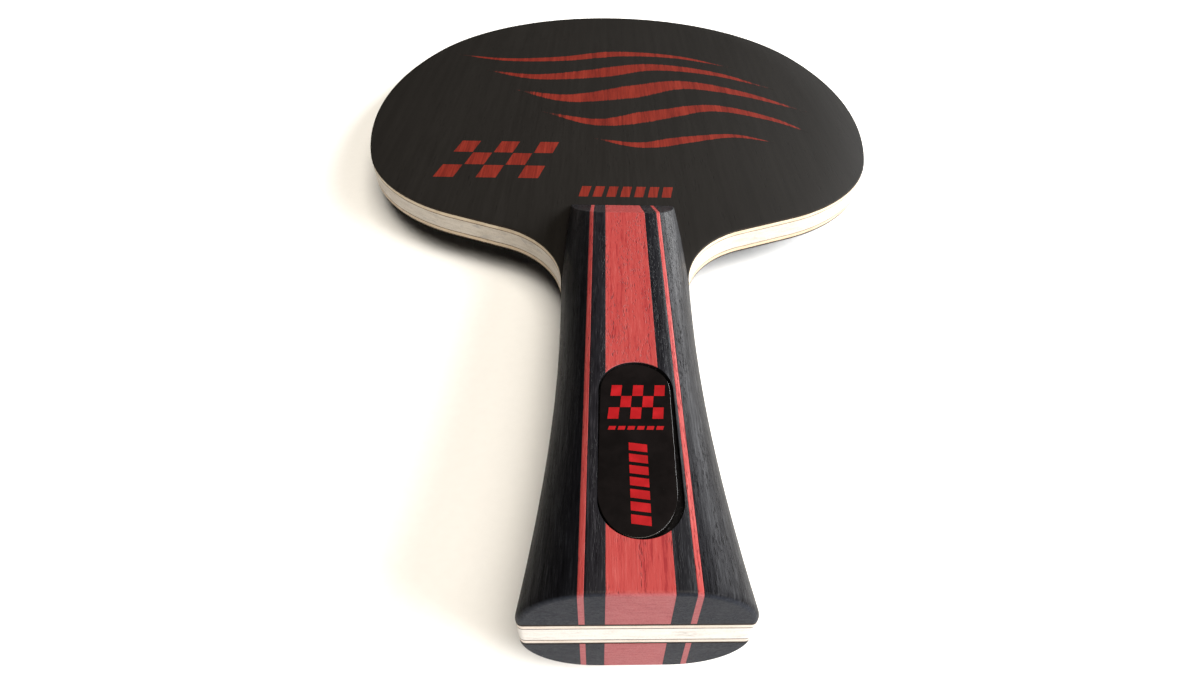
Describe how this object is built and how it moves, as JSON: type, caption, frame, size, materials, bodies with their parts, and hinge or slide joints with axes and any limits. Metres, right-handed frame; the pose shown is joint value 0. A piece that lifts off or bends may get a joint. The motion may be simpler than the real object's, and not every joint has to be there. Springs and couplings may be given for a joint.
{
  "type": "table tennis blade",
  "caption": "Bare table tennis blade: laminated wooden head with a flared, striped handle and an inset oval badge.",
  "frame": {"origin": "middle of the bounding box in X and Y, on the flat of the back handle scale in Z", "axes": "+Y from the butt of the handle to the tip of the head, +Z out of the printed front face, +X to the right"},
  "size_m": [0.1498, 0.257, 0.0242],
  "materials": {
    "pale_ply": "matte",
    "carbon_layer": "matte",
    "black_veneer": "matte",
    "red_dyed_wood": "satin",
    "black_dyed_wood": "satin",
    "badge_lens": "gloss",
    "adhesive_pad": "matte",
    "red_print": "matte"
  },
  "bodies": {
    "root": {"core_ply": "pale_ply", "carbon_layer_front": "carbon_layer", "carbon_layer_back": "carbon_layer", "inner_ply_front": "pale_ply", "inner_ply_back": "pale_ply", "face_ply_front": "black_veneer", "face_ply_back": "black_veneer", "front_centre_red_strip": "red_dyed_wood", "front_inner_black_strip_left": "black_dyed_wood", "front_inner_black_strip_right": "black_dyed_wood", "front_thin_red_strip_left": "red_dyed_wood", "front_thin_red_strip_right": "red_dyed_wood", "front_outer_black_strip_left": "black_dyed_wood", "front_outer_black_strip_right": "black_dyed_wood", "back_centre_red_strip": "red_dyed_wood", "back_inner_black_strip_left": "black_dyed_wood", "back_inner_black_strip_right": "black_dyed_wood", "back_thin_red_strip_left": "red_dyed_wood", "back_thin_red_strip_right": "red_dyed_wood", "back_outer_black_strip_left": "black_dyed_wood", "back_outer_black_strip_right": "black_dyed_wood", "badge_lens": "badge_lens", "badge_adhesive_pad": "adhesive_pad"}
  },
  "joints": []
}
